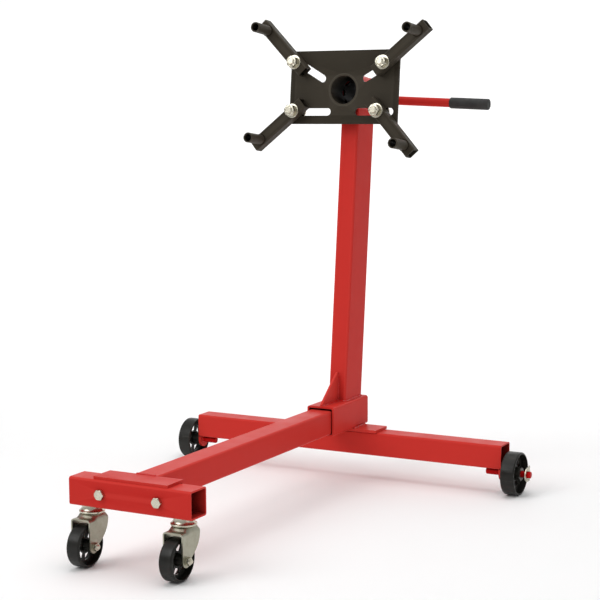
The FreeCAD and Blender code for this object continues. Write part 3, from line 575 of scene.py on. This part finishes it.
def add_fork(name):
    """A pressed fork: legs that end in a boss, bends, and a crown with a dome round the king pin."""
    axle = Vector(JOINTS["caster_spin_" + name]["pos_m"])
    king = Vector(JOINTS["caster_swivel_" + name]["pos_m"])
    low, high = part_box("caster_fork_" + name)
    half, back, top = (high.x - low.x) / 2, high.y, high.z - DOME_HEIGHT
    flat, front = half - FORK_BEND, axle.y - FORK_BOSS

    def place(x, y, z, level):
        """A point of the sheet; level says how far it takes part in the dome."""
        inside = (DOME_FOOT - math.hypot(x - king.x, y - king.y)) / (DOME_FOOT - DOME_FLAT)
        rise = min(1.0, max(0.0, inside))
        return bm.verts.new((x, y, z + DOME_HEIGHT * rise * rise * (3 - 2 * rise) * level))
    profile = [(half, axle.z - FORK_BOSS * math.cos(a), 0.0) for a in angles(0, 90, 9)]
    profile += [(half, z, 0.0) for z in steps_between(axle.z, top - FORK_BEND, LEG_ROWS)]
    profile += [(flat + FORK_BEND * math.cos(a), top - FORK_BEND * (1 - math.sin(a)), math.sin(a))
                for a in angles(15, 91, 15)]
    bm = bmesh.new()
    for side in SIDES.values():
        rows = []
        for out, z, level in profile:
            first, last = fork_edges(z, axle, top, back)
            rows.append([place(king.x + side * out, y, z, level)
                         for y in steps_between(first, last, FORK_COLUMNS)])
        face_rows(bm, rows)
    rings = []
    for n in range(CROWN_RINGS + 1):
        ring = []
        for x, y in crown_rim(flat, front, back):
            off = Vector((x, y - king.y, 0))
            at = king + off.normalized() * (KING_HOLE + (off.length - KING_HOLE) * n / CROWN_RINGS)
            ring.append(place(at.x, at.y, top, 1.0))
        rings.append(ring)
    face_rows(bm, rings, closed=True)
    bmesh.ops.remove_doubles(bm, verts=bm.verts, dist=MERGE)
    bmesh.ops.recalc_face_normals(bm, faces=bm.faces)
    if max(bm.faces, key=lambda face: face.calc_center_median().z).normal.z < 0:
        bmesh.ops.reverse_faces(bm, faces=bm.faces)
    mesh = bpy.data.meshes.new("fork_" + name)
    bm.to_mesh(mesh)
    bm.free()
    fork = add_piece("fork_" + name, mesh, "fork_zinc", "caster_" + name, ["caster_fork_" + name],
                     smooth_angle=60)
    sheet = fork.modifiers.new("sheet", "SOLIDIFY")
    sheet.thickness, sheet.offset, sheet.use_even_offset = FORK_SHEET, -1, True
    edge = fork.modifiers.new("edge", "BEVEL")
    edge.width, edge.segments, edge.limit_method, edge.harden_normals = FORK_EDGE, 2, "ANGLE", True
    edge.angle_limit = math.radians(FORK_EDGE_ANGLE)


def add_race(name, side):
    """The swivel bearing's fixed half: a lipped ring, a groove and a flange under the tube."""
    low, high = side_box("caster_top_races", side)
    at = Vector(((low.x + high.x) / 2, (low.y + high.y) / 2, 0))
    rim, bottom, top = (high.x - low.x) / 2, low.z, high.z
    profile = [(bottom, RACE_BORE)]
    profile += [(bottom + up * MM, rim - inset * MM) for up, inset in RACE_SHAPE]
    profile += [(top, rim - RACE_TOP), (top, RACE_BORE)]
    bm = bmesh.new()
    lathe(bm, profile, at, Z, RACE_STEPS)
    add_piece("race_" + name, mesh_from(bm, "race_" + name), "zinc", "stand", ["caster_top_races"])


def add_rear_axle(name, side):
    """A stub axle with rounded ends, painted over."""
    axle = Turned("rear_axles", JOINTS["wheel_spin_" + name]["pos_m"], X, right_of_middle(side))
    inset = [(AXLE_ROUNDING * (1 - math.cos(a)), axle.outer - AXLE_ROUNDING * (1 - math.sin(a)))
             for a in angles(0, 91, 15)]
    profile = [(axle.low + along, radius) for along, radius in inset]
    profile += [(axle.high - along, radius) for along, radius in reversed(inset)]
    bm = bmesh.new()
    lathe(bm, profile, axle.at, X, AXLE_STEPS, capped=True)
    add_piece("axle_" + name, mesh_from(bm, "axle_" + name), "red_paint", "stand", ["rear_axles"])


def add_split_pin(name, side):
    """A split pin through the axle: one wire with an eye, its two ends bent apart."""
    low, high = side_box("axle_cotter_pins", side)
    axle = Vector(JOINTS["wheel_spin_" + name]["pos_m"])
    middle, eye_at = (low.x + high.x) / 2, high.z - PIN_WIRE - PIN_EYE
    leg = [(out * MM, low.z + up * MM) for out, up in PIN_ENDS]
    leg += [(PIN_GAP, z) for z in (low.z + PIN_BENT, axle.z, eye_at - PIN_EYE - PIN_NECK)]
    eye = [(PIN_EYE * math.sin(a), eye_at - PIN_EYE * math.cos(a)) for a in angles(24, 337, 12)]
    path = leg + eye + [(-y, z) for y, z in reversed(leg)]
    points = [Vector((middle, axle.y + y, z)) for y, z in path]
    bm = bmesh.new()
    rings = []
    for n, point in enumerate(points):
        run = (points[min(n + 1, len(points) - 1)] - points[max(n - 1, 0)]).normalized()
        rings.append([bm.verts.new(point + (X * math.cos(a) + run.cross(X) * math.sin(a)) * PIN_WIRE)
                      for a in angles(0, 360, 30)])
    face_rows(bm, rings, closed=True)
    cap(bm, rings)
    add_piece("split_pin_" + name, mesh_from(bm, "split_pin_" + name), "zinc", "stand",
              ["axle_cotter_pins"])


for name, side in SIDES.items():
    add_fork(name)
    add_race(name, side)
    add_rear_axle(name, side)
    add_split_pin(name, side)


# ---- weld beads --------------------------------------------------------------------------------------
BEAD_STEP, BEAD_SIDES = 0.45 * MM, 8
RIPPLE, UNEVEN, UNEVEN_RATE = 0.16, 0.16, 0.35            # shares of the radius; changes per ripple
WANDER, WANDER_RATE = 0.10, 0.5                           # of the width; changes per ripple
END_SIZE, END_RISE, END_LENGTH = 0.35, 3.0, 6 * MM        # how a bead thins out at its two ends
COLUMN_CORNER = 3.5 * MM
COLUMN_LEAN = math.radians(6)


def weld(name, points, body, slot="red_paint", width=4.0, closed=False, pitch=2.6):
    """A weld bead along a path: overlapping ripples, a little uneven. width and pitch are in mm."""
    path = [Vector(p) for p in points]
    if closed:
        path.append(path[0])
    lengths = [(b - a).length for a, b in zip(path, path[1:])]
    total = sum(lengths)
    count = max(8, int(total / BEAD_STEP))
    bm = bmesh.new()
    rings = []
    seed = RANDOM.uniform(0, 50)
    for k in range(count + (0 if closed else 1)):
        left, span = total * k / count, 0
        while span < len(lengths) - 1 and left > lengths[span]:
            left -= lengths[span]
            span += 1
        direction = (path[span + 1] - path[span]).normalized()
        side, other = axes_for(direction)
        run = total * k / count / (pitch * MM)
        ripple = 1 - RIPPLE + RIPPLE * abs(math.sin(math.pi * run)) ** 0.5
        uneven = 1 + UNEVEN * noise.noise(Vector((seed, run * UNEVEN_RATE, 0)))
        near_end = min(k, count - k) / count * total / END_LENGTH
        end = 1.0 if closed else min(1.0, END_SIZE + END_RISE * near_end)
        radius = 0.5 * width * MM * ripple * uneven * end
        wander = WANDER * width * MM * noise.noise(Vector((0, seed, run * WANDER_RATE)))
        at = path[span] + direction * left + side * wander
        rings.append([bm.verts.new(at + (side * math.cos(a) + other * math.sin(a)) * radius)
                      for a in (2 * math.pi * n / BEAD_SIDES for n in range(BEAD_SIDES))])
    face_rows(bm, rings + (rings[:1] if closed else []), closed=True)
    if not closed:
        cap(bm, rings)
    bead = add_piece(name, mesh_from(bm, name), slot, body, smooth_angle=180)
    if slot == "red_paint":
        bead.data.materials[0] = WELD_PAINT


def circle(at, direction, radius, steps=48):
    side, other = axes_for(Vector(direction))
    return [Vector(at) + (side * math.cos(a) + other * math.sin(a)) * radius
            for a in (2 * math.pi * n / steps for n in range(steps))]


def add_column_welds():
    """Beads round the column's foot and along the gusset in front of it."""
    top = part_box("column")[0].z
    foot = [v.co for v in NODES["column"].data.vertices if v.co.z < top + 1 * MM]
    x0, x1 = min(p.x for p in foot), max(p.x for p in foot)
    y0, y1 = min(p.y for p in foot), max(p.y for p in foot)
    r = COLUMN_CORNER
    ring = [(x0 + r, y0, top), (x1 - r, y0, top), (x1, y0 + r, top), (x1, y1 - r, top),
            (x1 - r, y1, top), (x0 + r, y1, top), (x0, y1 - r, top), (x0, y0 + r, top)]
    weld("weld_column_foot", ring, "stand", width=6.0, closed=True)
    low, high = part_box("column_gusset")
    leaning = (high.z - low.z) * math.tan(COLUMN_LEAN)
    in_front = y0 + 0.4 * MM
    for name, side in SIDES.items():
        x = side * high.x
        weld("weld_gusset_foot_" + name, [(x, low.y + 2 * MM, top), (x, y0 - 1 * MM, top)], "stand",
             width=4.6)
        weld("weld_gusset_column_" + name, [(x, in_front, top), (x, in_front + leaning, high.z)],
             "stand", width=4.6)


def add_base_welds():
    """Beads along the socket, its plate, the beam's end, the ears and the stub axles."""
    socket_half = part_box("beam_socket")[1].x
    plate_low, plate_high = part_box("socket_base_plate")
    for name, side in SIDES.items():
        x = side * (socket_half - 1.2 * MM)
        weld("weld_socket_" + name, [(x, plate_low.y + 1 * MM, plate_high.z),
                                     (x, plate_high.y - 1 * MM, plate_high.z)], "stand", width=5.4)
    tube_low, tube_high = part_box("rear_cross_tube")
    for name, y in (("front", tube_low.y + 1.0 * MM), ("back", tube_high.y - 1.0 * MM)):
        weld("weld_plate_" + name, [(plate_low.x + 4 * MM, y, plate_low.z),
                                    (plate_high.x - 4 * MM, y, plate_low.z)], "stand", width=3.6)
    low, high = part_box("main_beam")
    for name, side in SIDES.items():
        x = side * high.x
        weld("weld_beam_" + name, [(x, low.y, low.z + 4 * MM), (x, low.y, high.z - 4 * MM)], "stand",
             width=5.0)
    weld("weld_beam_top", [(low.x + 4 * MM, low.y, high.z), (high.x - 4 * MM, low.y, high.z)], "stand",
         width=4.2)
    for name, side in SIDES.items():
        low, high = side_box("axle_ears", side)
        outside, inside = (high.x, low.x) if side > 0 else (low.x, high.x)
        for face, x in (("outside", outside), ("inside", inside)):
            weld("weld_ear_%s_%s" % (face, name),
                 [(x, low.y + 3 * MM, high.z), (x, high.y - 3 * MM, high.z)], "stand", width=3.6)
        axle = Vector(JOINTS["wheel_spin_" + name]["pos_m"])
        weld("weld_axle_" + name, circle((inside, axle.y, axle.z), X, 7.4 * MM), "stand", width=3.6,
             closed=True)


def add_head_welds():
    """Beads round the tube behind the plate and round the arms' sockets."""
    tube = Turned("head_tube", HEAD_AT, BACK)
    plate = Turned("mounting_plate", HEAD_AT, BACK)
    ring = circle(HEAD_AT + BACK * (plate.high + 0.6 * MM), BACK, tube.outer + 0.6 * MM, steps=72)
    weld("weld_plate_back_ring", ring, "head", "black_paint", width=5.0, closed=True, pitch=3.2)
    for arm in ARM_NAMES:
        mount = next(m for m in frame["record"]["mounts"] if m["name"] == "socket_" + arm)
        at = Vector(mount["pos_m"])
        socket = Turned("arm_socket_" + arm, at, FRONT)
        ring = circle(at + FRONT * (socket.low + 0.4 * MM), FRONT, socket.outer + 0.3 * MM)
        weld("weld_socket_" + arm, ring, "arm_" + arm, "black_paint", width=3.8, closed=True, pitch=2.4)


def add_collar_welds():
    """Beads where the column's top meets the collar and where the lock pin's bush stands on it."""
    outer = Turned("head_collar", HEAD_AT, BACK).outer
    up = FRONT.cross(X)
    points = [v.co - HEAD_AT for v in NODES["column"].data.vertices if v.co.z > HEAD_AT.z - 2 * outer]
    depths = [p.dot(FRONT) for p in points]
    edge, near, far = max(p.x for p in points), max(depths), min(depths)
    flat = edge - COLUMN_CORNER
    ring = [(x, near) for x in steps_between(-flat, flat, 12)]
    ring += [(edge, near - COLUMN_CORNER), (edge, far + COLUMN_CORNER)]
    ring += [(x, far) for x in steps_between(flat, -flat, 12)]
    ring += [(-edge, far + COLUMN_CORNER), (-edge, near - COLUMN_CORNER)]
    weld("weld_collar", [HEAD_AT + X * x + FRONT * d - up * math.sqrt(outer ** 2 - x ** 2)
                         for x, d in ring], "stand", width=4.6, closed=True)
    radial = Vector(JOINTS["lock_pin_slide"]["axis"]).normalized()
    radial = radial if radial.z > 0 else -radial
    low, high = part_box("lock_pin_bush")
    at = (low + high) / 2
    foot, side = HEAD_AT + FRONT * (at - HEAD_AT).dot(FRONT), radial.cross(FRONT)
    bush = Turned("lock_pin_bush", at, radial).outer + 0.2 * MM
    saddle = [foot + side * bush * math.cos(a) + FRONT * bush * math.sin(a)
              + radial * math.sqrt(outer ** 2 - (bush * math.cos(a)) ** 2) for a in angles(0, 360, 10)]
    weld("weld_bush", saddle, "stand", width=3.4, closed=True)


add_column_welds()
add_base_welds()
add_head_welds()
add_collar_welds()


# ---- stage, light and camera -------------------------------------------------------------------------
FLOOR_SIDE, FLOOR_FRONT, FLOOR_DROP = 9.0, -6.0, 0.0005
WALL_START, WALL_CURVE, WALL_TOP = 3.0, 1.5, 6.0
WORLD_LIGHT = 0.48
LIGHTS = (                                      # name, place, target, size, watts
    ("key", (-1.6, -2.6, 2.6), (0, 0, 0.4), (2.2, 2.2), 46),
    ("top", (0.0, 0.2, 3.2), (0, 0, 0.3), (3.0, 3.0), 48),
    ("fill", (3.0, -1.2, 1.2), (0, 0, 0.4), (1.6, 2.2), 6),
    ("backdrop", (-2.2, 1.9, 2.8), (-2.4, 4.4, 1.2), (6.0, 1.5), 80),
)
CAMERA_AT = (1.49703, -2.63013, 0.79302)
AZIMUTH, ELEVATION, ROLL = math.radians(28.343), math.radians(7.006), math.radians(-0.280)
SENSOR_MM, LENS_MM, CLIP_END = 36.0, 93.82, 50


def add_stage():
    """A pale seamless floor that curves up into a wall far behind."""
    bm = bmesh.new()
    profile = [(FLOOR_FRONT, 0.0)]
    profile += [(WALL_START + WALL_CURVE * math.sin(a), WALL_CURVE - WALL_CURVE * math.cos(a))
                for a in angles(0, 91, 6)]
    profile += [(WALL_START + WALL_CURVE, WALL_TOP)]
    face_rows(bm, [[bm.verts.new((x, y, z - FLOOR_DROP)) for x in (-FLOOR_SIDE, FLOOR_SIDE)]
                   for y, z in profile])
    floor = bpy.data.objects.new("floor", mesh_from(bm, "floor"))
    bpy.context.scene.collection.objects.link(floor)
    floor.data.polygons.foreach_set("use_smooth", [True] * len(floor.data.polygons))
    pale = Material("pale_floor", Roughness=0.8)
    pale.colour(pale.ramp(pale.noise(scale=2.0), (0.0, 0.93), (1.0, 0.95)))
    floor.data.materials.append(pale.material)


def add_light(name, at, target, size, watts):
    data = bpy.data.lights.new(name, "AREA")
    data.shape = "RECTANGLE"
    data.size, data.size_y = size
    data.energy = watts
    lamp = bpy.data.objects.new(name, data)
    lamp.location = at
    lamp.rotation_euler = (Vector(target) - Vector(at)).to_track_quat("-Z", "Y").to_euler()
    bpy.context.scene.collection.objects.link(lamp)


def add_world():
    """Even white light from all round."""
    world = bpy.data.worlds.new("studio")
    world.use_nodes = True
    background = world.node_tree.nodes["Background"]
    background.inputs["Color"].default_value = (1, 1, 1, 1)
    background.inputs["Strength"].default_value = WORLD_LIGHT
    bpy.context.scene.world = world


def set_colours():
    """Plain display colours, so that the enamel stays as red as its material says."""
    bpy.context.scene.view_settings.view_transform = "Standard"


def add_camera():
    """The viewpoint: a long lens in front, a little to the right and above."""
    back = Vector((math.sin(AZIMUTH) * math.cos(ELEVATION), -math.cos(AZIMUTH) * math.cos(ELEVATION),
                   math.sin(ELEVATION)))
    data = bpy.data.cameras.new("camera")
    data.sensor_width, data.lens, data.clip_end = SENSOR_MM, LENS_MM, CLIP_END
    camera = bpy.data.objects.new("camera", data)
    camera.location = CAMERA_AT
    level = back.to_track_quat("Z", "Y")
    camera.rotation_mode = "QUATERNION"
    camera.rotation_quaternion = level @ Matrix.Rotation(ROLL, 3, "Z").to_quaternion()
    bpy.context.scene.collection.objects.link(camera)
    bpy.context.scene.camera = camera


add_stage()
add_world()
for light in LIGHTS:
    add_light(*light)
add_camera()
set_colours()
